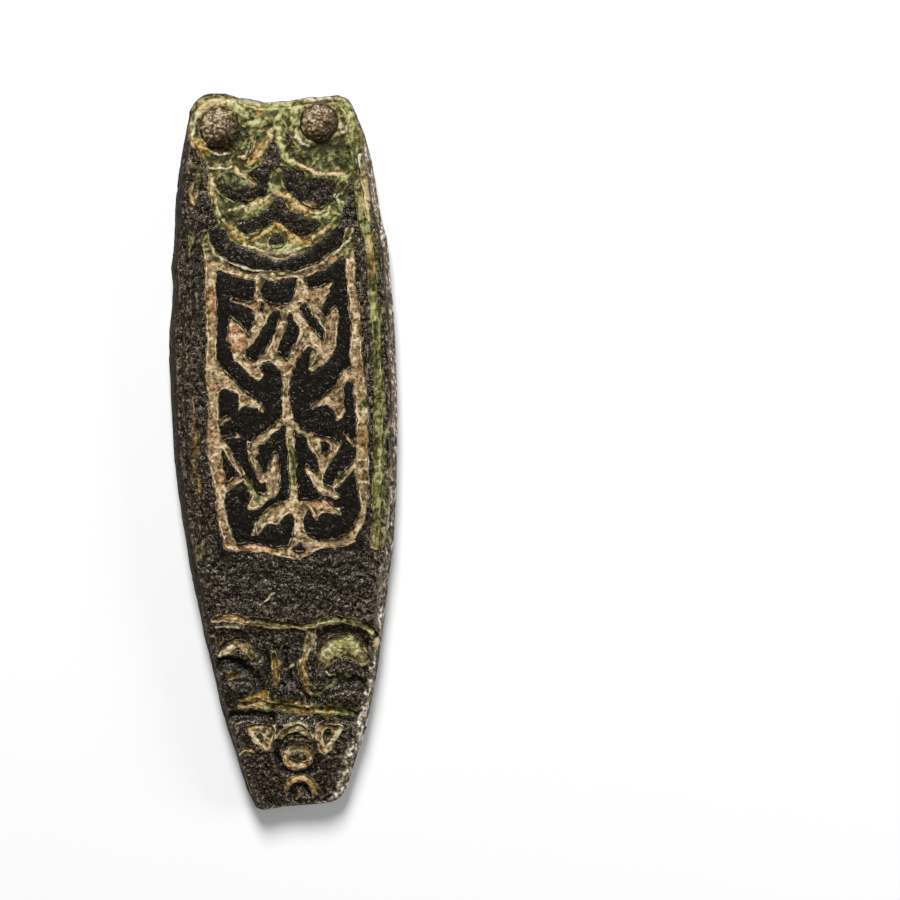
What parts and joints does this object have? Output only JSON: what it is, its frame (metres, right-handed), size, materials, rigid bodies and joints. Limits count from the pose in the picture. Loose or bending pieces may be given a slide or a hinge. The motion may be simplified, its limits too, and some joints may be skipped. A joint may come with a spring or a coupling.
{
  "type": "strap end",
  "caption": "Tongue-shaped cast strap end with a split, riveted upper end that grips a strap, carved interlace on its face and an animal-head tip.",
  "frame": {"origin": "bottom centre of the bounding box: on the flat back, midway along the length and the width", "axes": "+Z out of the ornamented face, +Y towards the split upper end that takes the strap, -Y towards the animal-head tip, X across"},
  "size_m": [0.019, 0.06, 0.0047],
  "materials": {
    "patinated_copper_alloy": "corroded dark patina with pale deposit in the recesses",
    "rivet_copper_alloy": "pitted brown patina"
  },
  "bodies": {
    "root": {"strap_end_casting": "patinated_copper_alloy", "left_rivet": "rivet_copper_alloy", "right_rivet": "rivet_copper_alloy"}
  },
  "joints": []
}
